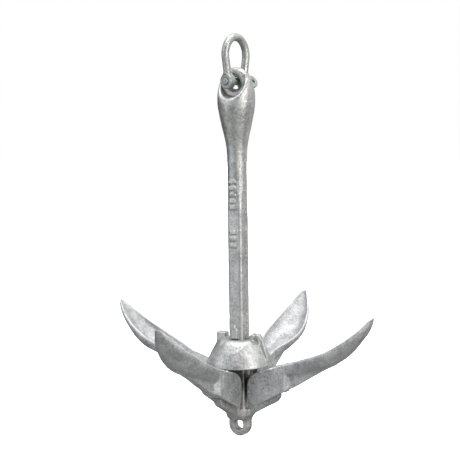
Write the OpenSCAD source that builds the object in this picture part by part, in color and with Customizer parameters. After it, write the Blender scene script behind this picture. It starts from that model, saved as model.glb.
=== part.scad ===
// Folding grapnel anchor, hot-dip galvanised cast iron.
// Frame: +Z runs up the shank to the shackle, the origin is the lowest point of
// the trip eye on the shank axis. fluke_1 lies along +X, fluke_2 along +Y,
// fluke_3 along -X and fluke_4 along -Y, all shown open, with the collar down.

/* [Anchor] */
// Height from the bottom of the trip eye to the top of the shank head
anchor_h = 320; // [310:1:330]

/* [Shank] */
// Width across the flats of the square part of the shank
shank_w = 14.4; // [13.4:0.1:14.5]
// Corner radius of the square part
shank_corner = 3.2; // [3.2:0.1:4]
// Radius of the round foot that sits in the crown
foot_r = 6; // [5:0.1:6.2]
// Largest radius of the egg-shaped head
head_r = 16.2; // [15.4:0.1:17]
// Waist radius of the hourglass hole in the head
head_hole_r = 4.8; // [4.7:0.1:5]
// Height of the small lugs above the origin, at their lower end
lug_z = 86.2; // [86.1:0.1:110]

/* [Crown] */
// Width of the square hub
hub_w = 18; // [17:0.5:18.5]
// Thickness of the four ribs and of the trip eye
rib_t = 8; // [7:0.2:8.2]
// Radius of the trip eye's hole
trip_r = 4.5; // [3.5:0.1:5]
// Outer radius of the trip eye
trip_outer_r = 10; // [9:0.1:11]

/* [Flukes] */
// Distance of each hinge axis from the shank axis
pivot_r = 27; // [27:0.1:27.2]
// Height of the hinge axes
pivot_z = 44; // [43.9:0.1:44.1]
// Radius of the hinge pins
pin_r = 3.5; // [3:0.1:3.8]
// Overall width of the fork root of a fluke
fork_w = 18.4; // [17.8:0.1:18.6]
// Half width of the palm at its widest
palm_half = 17.8; // [15:0.1:18.4]
// Wall thickness of the palm
palm_t = 3.8; // [3:0.1:4.4]

/* [Collar] */
// Outer radius of the collar at its rim
collar_r = 28.8; // [28.4:0.1:29.2]
// Height of the rim above the origin with the flukes locked open
rim_z = 63.1; // [62.9:0.1:63.6]
// Height of the collar's top face
collar_top = 85.8; // [85:0.1:86]
// Wall thickness of the dome
collar_t = 4.2; // [3.6:0.1:4.6]

/* [Shackle] */
// Diameter of the shackle's bar
bar_d = 6.5; // [6:0.1:6.8]
// Radius of the screw pin
spin_r = 3.2; // [2.8:0.1:3.2]
// Height of the screw pin's axis
spin_z = 307.6; // [307:0.1:307.7]
// Turn of the screw pin's flat tab from upright
tab_turn = -26; // [-90:1:90]
// Turn of the shackle about the vertical
shackle_yaw = -16; // [-17:1:-15]

/* [Hidden] */
zinc = [0.66, 0.68, 0.69];
zinc_light = [0.78, 0.80, 0.80];
zinc_dark = [0.52, 0.54, 0.54];
run_clear = 0.05;      // radial clearance of a running pin
through = 40;          // length of a cutter that passes right through
foot_bottom = 30;      // bottom of the socket for the shank's foot
hub_top = 60;
rivet_r = 2.5;
rivet_z = 56.8;

// ---- helpers -------------------------------------------------------------
function catmull_rom(p0, p1, p2, p3, t) =
    0.5 * ((2 * p1) + (p2 - p0) * t + (2 * p0 - 5 * p1 + 4 * p2 - p3) * t * t
         + (3 * p1 - p0 - 3 * p2 + p3) * t * t * t);

// Catmull-Rom curve through a list of points or numbers, with n steps per span
function spline(p, n) = let (last = len(p) - 1) concat(
    [for (i = [0 : last - 1], k = [0 : n - 1])
        catmull_rom(p[max(i - 1, 0)], p[i], p[i + 1], p[min(i + 2, last)], k / n)],
    [p[last]]);

module rounded_square(w, r) {
    square([w, w - 2 * r], center = true);
    square([w - 2 * r, w], center = true);
    for (sx = [-1, 1], sy = [-1, 1])
        translate([sx * (w / 2 - r), sy * (w / 2 - r)]) circle(r = r, $fn = 48);
}

// plate drawn in X (out) and Z (up), centred on Y
module side_plate(t) {
    rotate([90, 0, 0]) linear_extrude(height = t, center = true) children();
}

// round bar along Y, centred
module bar_y(r, h, facets = 64) {
    rotate([90, 0, 0]) cylinder(r = r, h = h, center = true, $fn = facets);
}

// bar on the hinge axis of the fluke along +X
module hinge_bar(r, h, facets = 64) { translate([pivot_r, 0, pivot_z]) bar_y(r, h, facets); }

// bar on the axis of the crown's rivet, along X
module rivet_bar(h) {
    translate([0, 0, rivet_z]) rotate([0, 90, 0])
        cylinder(r = rivet_r, h = h, center = true, $fn = 48);
}

// ---- shank ---------------------------------------------------------------
round_z = 196;         // bottom of the round part
square_top = 216;
square_limit_r = 9.8;  // radius that bounds the square part's corners
neck_r = 7.9;          // radius at the bottom of the round part
head_z = 292;          // height of the head's largest radius
egg_power = 2 / 2.3;   // exponent of the head's superellipse

mouth_rad = 4;         // rounding radius of the hourglass's waist
hole_lo = 306.1;       // lower and upper centres of the head's hole
hole_hi = 306.25;
pocket_lo = 305;       // lower and upper centres of the pockets
pocket_hi = 310.4;
pocket_r = 10.3;       // radius of the pockets at their floor
pocket_flare = 1.7;    // growth in radius over the pocket's depth
pocket_deep = 16;

lug_reach = 9.4;       // from the shank axis to the lug's outer face
lug_half = 2.9;
lug_shoulder = 10;     // height of the lug's parallel part
lug_h = 13.5;

pad_h = 3.5;
pad_x = -0.6;

function egg(a) = [head_r * pow(cos(a), egg_power),
    head_z + (anchor_h - head_z) * pow(sin(a), egg_power)];

// round part below the head: radius, height
shank_side = spline([[neck_r, round_z], [8.2, 212], [8.25, 226], [8.35, 240], [8.75, 250],
    [10.55, 260], [12.9, 270], [14.9, 280], [15.95, 287], [head_r, head_z]], 4);

module hole_cutter() {
    // waist rounded on both sides
    for (z = [hole_lo, hole_hi]) translate([0, 0, z]) rotate([-90, 0, 0])
        rotate_extrude($fn = 64) difference() {
            translate([0, -mouth_rad]) square([head_hole_r + mouth_rad, 2 * mouth_rad]);
            translate([head_hole_r + mouth_rad, 0]) circle(r = mouth_rad, $fn = 64);
        }
    translate([0, 0, (hole_lo + hole_hi) / 2])
        cube([2 * head_hole_r, through, hole_hi - hole_lo], center = true);
    // a pocket on each side, open at the top, takes the shackle's eyes
    for (turn = [-90, 90], z = [pocket_lo, pocket_hi]) translate([0, 0, z]) rotate([turn, 0, 0])
        translate([0, 0, mouth_rad - 0.01])
            cylinder(r1 = pocket_r, r2 = pocket_r + pocket_flare, h = pocket_deep, $fn = 72);
}

// flat-sided lug with a pointed top, towards +Y
module shank_lug() {
    translate([0, 0, lug_z]) rotate([0, -90, -90]) linear_extrude(height = lug_reach)
        polygon([[0, -lug_half], [lug_shoulder, -lug_half], [lug_h, 0],
            [lug_shoulder, lug_half], [0, lug_half]]);
}

// plain raised pads on the -Y side, centred at the given heights
module pads(heights, y, w, depth) {
    for (z = heights) translate([pad_x, y, z]) cube([w, depth, pad_h], center = true);
}

module shank() {
    color(zinc_light) difference() {
        union() {
            intersection() {
                translate([0, 0, hub_top + 0.1]) linear_extrude(height = square_top - hub_top)
                    rounded_square(shank_w, shank_corner);
                // the corners run out into the round part
                rotate_extrude($fn = 72)
                    polygon([[0, 50], [square_limit_r, 50], [square_limit_r, round_z - 1],
                        [neck_r, square_top + 0.5], [0, square_top + 0.5]]);
            }
            translate([0, 0, foot_bottom + 1]) cylinder(r = foot_r, h = 50, $fn = 64);
            rotate_extrude($fn = 72) polygon(concat([[0, round_z]], shank_side,
                [for (a = [6 : 6 : 84]) egg(a)], [[0, anchor_h]]));
            shank_lug();
            mirror([0, 1, 0]) shank_lug();
            pads([205.6, 200, 178.5, 172.9, 167.3], y = -shank_w / 2, w = 6.6, depth = 1);
            pads([222.4, 216.8, 211.2], y = -7.9, w = 6.2, depth = 1.4);
        }
        hole_cutter();
        rivet_bar(through);
    }
}

// ---- crown ---------------------------------------------------------------
hub_bottom = 16;
knuckle_r = 12;        // round end of a rib about the hinge
shoulder_r = 12.6;
shoulder_z = 20;       // bottom of the shoulder's straight part
shoulder_h = 4.5;      // height of that part

// half outline of the crown with one rib: out, up
rib_side = [[0, 15.4], [5, 15.4], [9, 17.2], [13.5, 20.2], [20, 24], [27.5, 28.3],
    [33.8, 31.5], [36.9, 33.7], [39, 36.6], [39.7, 39], [pivot_r + 11.4, 41.4],
    [pivot_r + 6, 44], [pivot_r, pivot_z + 8], [21, 53.4], [16.2, 51.8], [9, 51.8], [0, 51.8]];

module rib() {
    difference() {
        union() {
            side_plate(rib_t) polygon(rib_side);
            hinge_bar(knuckle_r, rib_t, facets = 72);
        }
        hinge_bar(pin_r + run_clear, through);
    }
}

// round shoulder low on the hub, tapered above and below
module shoulder() {
    translate([0, 0, shoulder_z - 4.8]) cylinder(r1 = 10, r2 = shoulder_r, h = 4.8, $fn = 64);
    translate([0, 0, shoulder_z]) cylinder(r = shoulder_r, h = shoulder_h, $fn = 64);
    translate([0, 0, shoulder_z + shoulder_h])
        cylinder(r1 = shoulder_r, r2 = 9, h = 2.5, $fn = 64);
}

module trip_eye() {
    side_plate(rib_t) union() {
        translate([0, trip_outer_r]) circle(r = trip_outer_r, $fn = 96);
        translate([-trip_outer_r, trip_outer_r]) square([2 * trip_outer_r, 10]);
    }
}

module crown() {
    color(zinc) difference() {
        union() {
            translate([0, 0, hub_bottom]) linear_extrude(height = hub_top - hub_bottom)
                rounded_square(hub_w, 2);
            shoulder();
            for (a = [0 : 90 : 270]) rotate([0, 0, a]) rib();
            trip_eye();
        }
        translate([0, 0, trip_outer_r]) bar_y(trip_r, through);
        translate([0, 0, foot_bottom]) cylinder(r = foot_r, h = 60, $fn = 64);
        rivet_bar(through);
    }
}

module crown_rivet() { color(zinc_dark) rivet_bar(hub_w); }

// ---- flukes --------------------------------------------------------------
rib_gap = 0.3;         // side gap between a rib and the cheeks of its fluke
crotch_r = 13.2;       // radius of the slot about the hinge
slot_reach = 60;       // how far the slot's edges run from the hinge
slot_up_a = 76;        // directions of those edges, from outwards
slot_down_a = -11.3;
keel_t = 9;
pin_short = 0.8;       // how much shorter a hinge pin is than the fork's width
palm_steps = 2;        // spline steps between stations
arc_n = 8;             // steps across each face of the palm
arc_power = 0.9;       // exponent that shapes the crescent

// Stations along the palm, from the root to the tip.
// rim: out, up
palm_rim = spline([[42, 66.0], [55, 70.2], [66, 74.0], [76, 77.8], [86, 82.2], [95, 87.2],
    [103, 92.4], [110, 97.7], [116.5, 103.5], [121.7, 109.0], [126.2, 113.4]], palm_steps);
// underside on the centre line: out, up
palm_low = spline([[44, 53], [57.3, 57.6], [70, 62.2], [81.5, 66.6], [93.2, 71.0], [102.7, 77.4],
    [110, 84.7], [116.3, 92.4], [121.4, 98.9], [125.0, 105.4], [126.8, 112.4]], palm_steps);
// half width as a share of palm_half
palm_share = spline([0.40, 0.585, 0.83, 0.97, 1, 0.935, 0.82, 0.68, 0.49, 0.30, 0.14], palm_steps);

// side view of the fork root: out, up
root_side = concat([[20.5, 30.4], [32.5, 36.6], [48.3, 45.2], [52.6, 47.6], [53.4, 54],
        [52.5, 62], [49.5, 68.5], [42, 66.1]],
    spline([[26.5, 61.1], [19.5, 58.2], [14.6, 54], [12.5, 49], [12.2, 43], [12.3, 37],
        [13.6, 33.4], [16.5, 31.1]], 2));

// side view of the keel under the palm: out, up
keel_side = concat(
    spline([[44, 43.1], [50, 45.9], [56, 49.1], [63.5, 53.9], [71.2, 58.4], [78.5, 62.8],
        [85.4, 66.6], [92, 70.2]], 2),
    [[90, 72], [80, 68.6], [66, 64], [50, 60]]);

// plan of the fork root, with slanted outer ends to the cheeks: out, across
root_plan = [[0, -14], [43, -14], [57, 0], [43, 14], [0, 14]];

// point on a face of the palm; angle runs from -90 to 90 between the rims
function face_point(rim, depth, half, angle) =
    let (p = rim + depth * pow(max(cos(angle), 0), arc_power))
    [p[0], half * sin(angle), p[1]];

// one crescent section: under face from -Y to +Y, then upper face back
function section(i) =
    let (
        rim = palm_rim[i],
        depth = palm_low[i] - rim,
        half = max(palm_half * palm_share[i], 0.5),
        edge_t = min(palm_t * 0.55, half * 0.5),
        mid_t = min(palm_t, norm(depth) * 0.55),
        upper_depth = depth * (1 - mid_t / norm(depth))
    )
    concat(
        [for (k = [0 : arc_n]) face_point(rim, depth, half, -90 + 180 * k / arc_n)],
        [for (k = [0 : arc_n]) face_point(rim, upper_depth, half - edge_t, 90 - 180 * k / arc_n)]);

module palm() {
    ring = 2 * (arc_n + 1);     // points in one section
    count = len(palm_rim);
    tip = (count - 1) * ring;   // first point of the last section
    points = [for (i = [0 : count - 1]) each section(i)];
    sides = [for (i = [0 : count - 2], k = [0 : ring - 1])
        let (a = i * ring + k, b = i * ring + (k + 1) % ring)
        each [[a, a + ring, b + ring], [a, b + ring, b]]];
    root_cap = [for (k = [0 : arc_n - 1])
        let (far = ring - 1 - k)
        each [[k, k + 1, far - 1], [k, far - 1, far]]];
    tip_cap = [for (k = [0 : arc_n - 1])
        let (near = tip + k, far = tip + ring - 1 - k)
        each [[near, far - 1, near + 1], [near, far, far - 1]]];
    polyhedron(points = points, faces = concat(sides, root_cap, tip_cap), convexity = 6);
}

// room for the crown's rib: a round crotch, open inwards and downwards
module slot() {
    function edge_end(a) = [pivot_r + slot_reach * cos(a), pivot_z + slot_reach * sin(a)];
    side_plate(rib_t + 2 * rib_gap) union() {
        translate([pivot_r, pivot_z]) circle(r = crotch_r, $fn = 72);
        polygon([[pivot_r, pivot_z], edge_end(slot_up_a), [-30, 104], [-30, -20],
            [pivot_r + slot_reach, -20], edge_end(slot_down_a)]);
    }
}

module fluke(a) {
    color(zinc_light) rotate([0, 0, a]) difference() {
        union() {
            intersection() {
                side_plate(fork_w) polygon(root_side);
                translate([0, 0, 20]) linear_extrude(height = 60) polygon(root_plan);
            }
            side_plate(keel_t) polygon(keel_side);
            palm();
        }
        slot();
        hinge_bar(pin_r, through);
    }
}
module fluke_1() { fluke(0); }
module fluke_2() { fluke(90); }
module fluke_3() { fluke(180); }
module fluke_4() { fluke(270); }

module fluke_pin(a) {
    color(zinc_dark) rotate([0, 0, a]) hinge_bar(pin_r, fork_w - pin_short);
}
module fluke_pin_1() { fluke_pin(0); }
module fluke_pin_2() { fluke_pin(90); }
module fluke_pin_3() { fluke_pin(180); }
module fluke_pin_4() { fluke_pin(270); }

// ---- collar --------------------------------------------------------------
dome_h = 22.7;         // height of the dome tables, stretched to fit the collar
rise = (collar_top - rim_z) / dome_h;
top_t = 5.6;           // thickness of the collar's top
bore_clear = 1.8;      // gap between the bore and the shank's flats
lug_slot = [6.8, 20.6];  // slot across the bore that clears the shank's lugs
horn_t = 7.6;
gusset_t = 4.2;

// dome, outside and inside: distance in from the wall's foot, height above the rim
dome_out = [[0, 0.5], [0.15, 1.4], [0.6, 3.1], [1.3, 4.9], [2.35, 7.3], [3.6, 9.7],
    [5.2, 13], [7.1, 16.4], [8.8, 19.1], [10.6, 21], [12.6, 22.2]];
dome_in = [[0, 0], [0.3, 2], [1.1, 4.9], [2.15, 7.3], [3.4, 9.7], [5, 13], [6.3, 15.6]];

// side views: out, up
horn_side = [[12.5, collar_top - 5], [12.5, 90], [13.2, 90.6], [20.4, 90.6], [21.5, 89.5],
    [21.6, 80], [19, collar_top - 5]];
gusset_side = [[19, 82], [20.8, 88.6], [21.9, 87], [24.9, 78.5], [27, 72], [27.9, 68], [24, 70]];

function dome_point(r, p) = [r - p[0], rim_z + rise * p[1]];

module dome() {
    rotate_extrude($fn = 96) polygon(concat(
        [[collar_r - 0.6, rim_z]],
        [for (p = dome_out) dome_point(collar_r, p)],
        [[collar_r - 14.6, collar_top], [0, collar_top],
            [0, collar_top - top_t], [13, collar_top - top_t]],
        [for (i = [len(dome_in) - 1 : -1 : 0]) dome_point(collar_r - collar_t, dome_in[i])]));
}

// upright horn on the +X side
module horn() { side_plate(horn_t) polygon(horn_side); }

module collar() {
    color(zinc) difference() {
        union() {
            dome();
            horn();
            mirror([1, 0, 0]) horn();
            // gusset from the +X horn down the dome
            side_plate(gusset_t) polygon(gusset_side);
        }
        translate([0, 0, rim_z]) cylinder(r = shank_w / 2 + bore_clear, h = 60, $fn = 72);
        translate([0, 0, rim_z + 20]) cube([lug_slot[0], lug_slot[1], 60], center = true);
    }
}

// ---- shackle -------------------------------------------------------------
// Drawn about the screw pin's middle: the pin along Y, the bow in the YZ plane.
eye_off = 6.25 + bar_d / 2;     // middle of each eye along the pin
eye_r = 6.8;
top_r = 10.46;                  // centre-line radius at the top of the bow
top_up = 27.04;                 // height of that arc's centre above the pin
side_r = 17;                    // centre-line radius of the sides
side_off = -4.8;                // centre of a side arc, measured across
side_up = 22.6;                 // height of that centre above the pin
top_a = 42.74;                  // where the side arc meets the top arc
leg_a = 9;                      // lean of the straight legs
leg_up = 4;                     // height of a leg's lower end
leg_lap = 0.6;                  // how far a leg runs up into its side arc

tab_y = 19;                     // middle of the tab's disc along the pin
tab_r = 5.6;
tab_t = 3;

module in_shackle() { translate([0, 0, spin_z]) rotate([0, 0, shackle_yaw]) children(); }

// bent bar from angle a0 to a1 about (across, up), its radius reduced by less
module bar_arc(across, up, r, a0, a1, less) {
    translate([0, across, up]) rotate([90, 0, 90]) rotate([0, 0, a0])
        rotate_extrude(angle = a1 - a0, $fn = 96)
            translate([r, 0]) circle(r = bar_d / 2 - less, $fn = 48);
}

// straight leg and side arc on +Y; each length is slightly thinner and starts inside the next
module leg() {
    y = side_off + side_r * cos(leg_a);
    z = side_up - side_r * sin(leg_a);
    length = (z - leg_up) / cos(leg_a);
    translate([0, y, z]) rotate([180 - leg_a, 0, 0]) translate([0, 0, -leg_lap])
        cylinder(r = bar_d / 2 - 0.06, h = length + leg_lap, $fn = 48);
    bar_arc(side_off, side_up, side_r, a0 = -leg_a, a1 = top_a + 2, less = 0.03);
}

module shackle_bow() {
    color(zinc) in_shackle() difference() {
        union() {
            for (side = [0, 1]) mirror([0, side, 0]) {
                translate([0, eye_off, 0]) bar_y(eye_r, bar_d, facets = 72);
                leg();
            }
            bar_arc(0, top_up, top_r, a0 = top_a, a1 = 180 - top_a, less = 0);
        }
        bar_y(spin_r + run_clear, h = 60);
    }
}

module shackle_pin() {
    color(zinc_light) in_shackle() union() {
        translate([0, 0.6, 0]) bar_y(spin_r, h = 28.4);
        // shoulder outside the +Y eye
        translate([0, 13.6, 0]) bar_y(r = 4.6, h = 1.2);
        // flat tab with a small hole
        rotate([0, tab_turn, 0]) difference() {
            translate([0, tab_y, 0]) rotate([0, 90, 0]) union() {
                cylinder(r = tab_r, h = tab_t, center = true, $fn = 64);
                translate([0, -3, 0]) cube([9, 5, tab_t], center = true);
            }
            translate([0, tab_y + 1, 0]) rotate([0, 90, 0])
                cylinder(r = 1.6, h = 10, center = true, $fn = 32);
        }
    }
}

shank();
crown();
crown_rivet();
collar();
fluke_1();
fluke_2();
fluke_3();
fluke_4();
fluke_pin_1();
fluke_pin_2();
fluke_pin_3();
fluke_pin_4();
shackle_bow();
shackle_pin();
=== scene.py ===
"""Looks of a folding grapnel anchor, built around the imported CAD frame.

The anchor stands upright on the Z axis: crown at the bottom with its eye near z = 0, shank rising
to the shackle at z = 320 mm, and four flukes spreading toward +X, +Y, -X and -Y.

Every casting is a signed-distance field (negative inside) on a numpy grid, turned into a quad mesh
by surface nets so that its edges get the soft radii of a foundry casting. Fields are in mm;
meshes are written in metres.
"""
import math
from itertools import product

import bpy
import numpy as np
from mathutils import Matrix, Vector


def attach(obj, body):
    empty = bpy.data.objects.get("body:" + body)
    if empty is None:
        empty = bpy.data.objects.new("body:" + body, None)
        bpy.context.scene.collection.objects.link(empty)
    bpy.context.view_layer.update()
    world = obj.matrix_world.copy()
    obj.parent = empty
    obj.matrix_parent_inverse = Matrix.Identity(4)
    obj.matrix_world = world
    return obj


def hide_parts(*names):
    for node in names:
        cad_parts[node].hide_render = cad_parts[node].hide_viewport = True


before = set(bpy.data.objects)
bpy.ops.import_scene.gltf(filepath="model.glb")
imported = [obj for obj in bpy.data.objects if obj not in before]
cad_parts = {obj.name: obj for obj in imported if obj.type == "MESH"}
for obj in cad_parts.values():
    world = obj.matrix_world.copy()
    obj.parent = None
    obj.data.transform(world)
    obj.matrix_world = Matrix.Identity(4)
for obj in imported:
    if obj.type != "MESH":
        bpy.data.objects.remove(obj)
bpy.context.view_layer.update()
COARSEN = 1.0

f32 = np.float32

# Hinge pins: distance from the anchor's axis, and height
HINGE_R, HINGE_Z = 27.0, 44.0

# ------------------------------------------------------------------ fields


def grid(low, high, cell):
    """Grid coordinates along X, Y and Z, shaped to broadcast into a 3D field."""
    x, y, z = (np.arange(low[i], high[i] + cell, cell, dtype=f32) for i in range(3))
    return x.reshape(-1, 1, 1), y.reshape(1, -1, 1), z.reshape(1, 1, -1)


def union(a, b, blend):
    """Smooth minimum; blend is the width of the fillet."""
    t = np.clip(0.5 + 0.5 * (b - a) / blend, 0, 1)
    return b * (1 - t) + a * t - blend * t * (1 - t)


def intersect(a, b, blend):
    return -union(-a, -b, blend)


def cut(solid, tool, blend):
    return -union(-solid, tool, blend)


def smoothstep(start, end, value):
    t = np.clip((value - start) / (end - start), 0, 1)
    return t * t * (3 - 2 * t)


def polygon(px, pz, points):
    """Signed distance to a closed polygon; px and pz broadcast."""
    px, pz = np.broadcast_arrays(px, pz)
    nearest = np.full(px.shape, 1e9, f32)
    sign = np.ones(px.shape, f32)
    for i in range(len(points)):
        ax, az = points[i]
        bx, bz = points[i - 1]
        ex, ez = bx - ax, bz - az
        wx, wz = px - ax, pz - az
        t = np.clip((wx * ex + wz * ez) / (ex * ex + ez * ez + 1e-12), 0, 1)
        qx, qz = wx - ex * t, wz - ez * t
        nearest = np.minimum(nearest, qx * qx + qz * qz)
        # the sign flips each time the side crosses a ray from the point
        above, below, left = pz >= az, pz < bz, ex * wz > ez * wx
        sign = np.where((above & below & left) | (~above & ~below & ~left), -sign, sign)
    return (sign * np.sqrt(nearest)).astype(f32)


def box(px, pz, half_x, half_z, radius):
    """Rectangle with rounded corners."""
    qx, qz = np.abs(px) - (half_x - radius), np.abs(pz) - (half_z - radius)
    outside = np.hypot(np.maximum(qx, 0), np.maximum(qz, 0))
    return outside + np.minimum(np.maximum(qx, qz), 0) - radius


def extrude(outline, across, half, radius):
    """Plate of a flat outline, reaching half to each side, with rounded edges."""
    wx, wy = outline + radius, np.abs(across) - half + radius
    outside = np.sqrt(np.maximum(wx, 0) ** 2 + np.maximum(wy, 0) ** 2)
    return np.minimum(np.maximum(wx, wy), 0) + outside - radius


def revolve(radius, height, profile, max_radius):
    """Revolved (radius, height) polygon, looked up in a table of radii."""
    step = 0.12
    radii = np.arange(0, max_radius + step, step, dtype=f32)
    table = polygon(radii[:, None], height.reshape(1, -1), profile)
    place = np.clip(radius[..., 0] / step, 0, len(radii) - 1.001)
    row = place.astype(int)
    w = (place - row)[..., None]
    return (table[row] * (1 - w) + table[row + 1] * w).astype(f32)


def spline(points, steps):
    """Catmull-Rom through the points, with the same number of steps in each span."""
    p = np.asarray(points, float)
    out = []
    for i in range(len(p) - 1):
        p0, p1, p2, p3 = p[max(i - 1, 0)], p[i], p[i + 1], p[min(i + 2, len(p) - 1)]
        for k in range(steps):
            t = k / steps
            out.append(0.5 * (2 * p1 + (p2 - p0) * t + (2 * p0 - 5 * p1 + 4 * p2 - p3) * t * t
                              + (3 * p1 - p0 - 3 * p2 + p3) * t ** 3))
    out.append(p[-1])
    return np.array(out)


def round_corners(points, radii, steps=4):
    """Polygon with rounded corners; radii is one radius, or one for each corner."""
    p = np.asarray(points, float)
    out = []
    for i, radius in enumerate(np.broadcast_to(radii, len(p))):
        corner = p[i]
        u, v = p[i - 1] - corner, p[(i + 1) % len(p)] - corner
        length_u, length_v = np.linalg.norm(u), np.linalg.norm(v)
        u, v = u / length_u, v / length_v
        half_angle = math.acos(np.clip(u @ v, -0.9999, 0.9999)) / 2
        trim = min(radius / math.tan(half_angle), 0.48 * length_u, 0.48 * length_v)
        start, end = corner + u * trim, corner + v * trim
        for k in range(steps + 1):
            s = k / steps
            out.append((1 - s) ** 2 * start + 2 * s * (1 - s) * corner + s * s * end)
    return np.array(out)


# ------------------------------------------------------------------ surface relief


def hash_cells(cells, seed):
    """Random value in [-1, 1] for each integer lattice cell (N, 3)."""
    n = (cells[:, 0] * 374761393 + cells[:, 1] * 668265263 + cells[:, 2] * 2147483647
         + seed * 144665)
    n = (n ^ (n >> 13)) * 1274126177
    n = n ^ (n >> 16)
    return ((n & 0xFFFFFF).astype(f32) / 0xFFFFFF) * 2 - 1


def corner_weights(t):
    """The eight corners of a cell, each with its trilinear weight at fractions t (N, 3)."""
    for dx, dy, dz in product((0, 1), repeat=3):
        yield (dx, dy, dz), ((t[:, 0] if dx else 1 - t[:, 0]) * (t[:, 1] if dy else 1 - t[:, 1])
                             * (t[:, 2] if dz else 1 - t[:, 2]))


def noise(p, scale, seed):
    """Smooth value noise in [-1, 1] at points p (N, 3); scale is the lattice size."""
    q = p / scale + 1000.0
    cells = np.floor(q).astype(np.int64)
    t = (q - cells).astype(f32)
    t = t * t * t * (t * (t * 6 - 15) + 10)
    out = np.zeros(len(p), f32)
    for corner, weight in corner_weights(t):
        out += weight * hash_cells(cells + corner, seed)
    return out


def waves(p, height, seed):
    """Waviness of a sand casting under a zinc coat."""
    return height * (noise(p, 7.0, seed) * 0.55 + noise(p, 3.1, seed + 1) * 0.3
                     + noise(p, 1.5, seed + 2) * 0.15)


def pimples(p, seed, pitch, radius, height, share):
    """Scattered round bumps: one candidate in each lattice cell, of which a share is made."""
    base = np.floor(p / pitch).astype(np.int64)
    out = np.zeros(len(p), f32)
    for offset in product((-1, 0, 1), repeat=3):
        cells = base + offset
        made = hash_cells(cells, seed) * 0.5 + 0.5 < share
        shift = np.stack([hash_cells(cells, seed + 1 + axis) for axis in range(3)], 1)
        centre = (cells + 0.5 + 0.4 * shift) * pitch
        size = radius * (0.75 + 0.35 * hash_cells(cells, seed + 4))
        d = np.linalg.norm(p - centre, axis=1) / size
        out = np.maximum(out, np.where(made & (d < 1), height * (1 - d * d) ** 2, 0))
    return out


def flatten(relief, near, depth):
    """Where near is 1, keeps only the hollows of the relief, scaled by depth."""
    return np.minimum(relief, 0) * near * depth + relief * (1 - near)


# ------------------------------------------------------------------ meshing

# The twelve edges of a cell, as (start, end) corners
EDGES = [tuple((u, v)[:axis] + (end,) + (u, v)[axis:] for end in (0, 1))
         for axis in range(3) for u in (0, 1) for v in (0, 1)]


def at(array, cells):
    return array[tuple(cells.T)]


def sample(field, p, low, cell):
    """Trilinear value of the field at points p."""
    q = (p - low) / cell
    i = np.clip(np.floor(q).astype(int), 0, np.array(field.shape) - 2)
    t = np.clip(q - i, 0, 1).astype(f32)
    out = np.zeros(len(p), f32)
    for corner, weight in corner_weights(t):
        out += weight * at(field, i + corner)
    return out


def gradient(field, p, low, cell):
    reach = cell * 0.75
    out = np.zeros((len(p), 3), f32)
    for axis in range(3):
        d = np.zeros(3)
        d[axis] = reach
        out[:, axis] = (sample(field, p + d, low, cell)
                        - sample(field, p - d, low, cell)) / (2 * reach)
    return out


def surface_nets(field, low, cell):
    """Vertices and quads of the zero level of the field."""
    inside = field < 0
    nx, ny, nz = (n - 1 for n in field.shape)
    count = np.zeros((nx, ny, nz), np.uint8)
    for a, b, c in product((0, 1), repeat=3):
        count += inside[a:nx + a, b:ny + b, c:nz + c]
    active = (count > 0) & (count < 8)
    cells = np.argwhere(active)
    number = np.full(count.shape, -1, np.int32)
    number[active] = np.arange(len(cells), dtype=np.int32)

    # each vertex is the mean of the crossings on its cell's edges
    total = np.zeros((len(cells), 3), f32)
    crossings = np.zeros(len(cells), f32)
    for start, end in EDGES:
        fa, fb = at(field, cells + start), at(field, cells + end)
        crossed = (fa < 0) != (fb < 0)
        t = np.where(crossed, fa / np.where(crossed, fa - fb, 1), 0)
        for axis in range(3):
            place = start[axis] + (end[axis] - start[axis]) * t
            total[:, axis] += np.where(crossed, place, 0)
        crossings += crossed
    vertices = low + cell * (cells + total / crossings[:, None])

    # each crossed interior grid edge gives a quad of the four cells around it
    quads = []
    for axis in range(3):
        b, c = (axis + 1) % 3, (axis + 2) % 3
        first, second, interior = ([slice(None)] * 3 for _ in range(3))
        first[axis], second[axis] = slice(0, -1), slice(1, None)
        interior[b] = interior[c] = slice(1, -1)
        start_inside = inside[tuple(first)]
        edges = np.argwhere((start_inside != inside[tuple(second)])[tuple(interior)])
        edges[:, b] += 1
        edges[:, c] += 1
        ring = []
        for step_b, step_c in ((-1, -1), (0, -1), (0, 0), (-1, 0)):
            k = edges.copy()
            k[:, b] += step_b
            k[:, c] += step_c
            ring.append(at(number, k))
        ring = np.stack(ring, 1)
        quads.append(np.where(at(start_inside, edges)[:, None], ring, ring[:, ::-1]))
    return vertices, np.concatenate(quads)


def largest_piece(vertices, quads):
    """Drops loose specks: keeps the largest connected piece."""
    label = np.arange(len(vertices))
    for _ in range(2000):
        lowest = label[quads].min(1)
        new = label.copy()
        for k in range(4):
            np.minimum.at(new, quads[:, k], lowest)
        new = new[new]
        if (new == label).all():
            break
        label = new
    owner = label[quads[:, 0]]
    quads = quads[owner == np.bincount(owner).argmax()]
    used = np.unique(quads)
    renumber = np.full(len(vertices), -1)
    renumber[used] = np.arange(len(used))
    return vertices[used], renumber[quads]


def to_mesh(field, low, cell, relief):
    """Meshes the field, pulls the vertices onto it, then pushes them out by relief(points)."""
    low = np.asarray(low, float)
    v, quads = surface_nets(field, low, cell)
    for _ in range(2):
        n = gradient(field, v, low, cell)
        steepness = np.maximum((n * n).sum(1), 0.05)
        move = np.clip(sample(field, v, low, cell) / steepness, -0.4 * cell, 0.4 * cell)
        v = v - n * move[:, None]
    n = gradient(field, v, low, cell)
    n /= np.maximum(np.linalg.norm(n, axis=1), 1e-6)[:, None]
    return largest_piece(v + n * relief(v)[:, None], quads)


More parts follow.
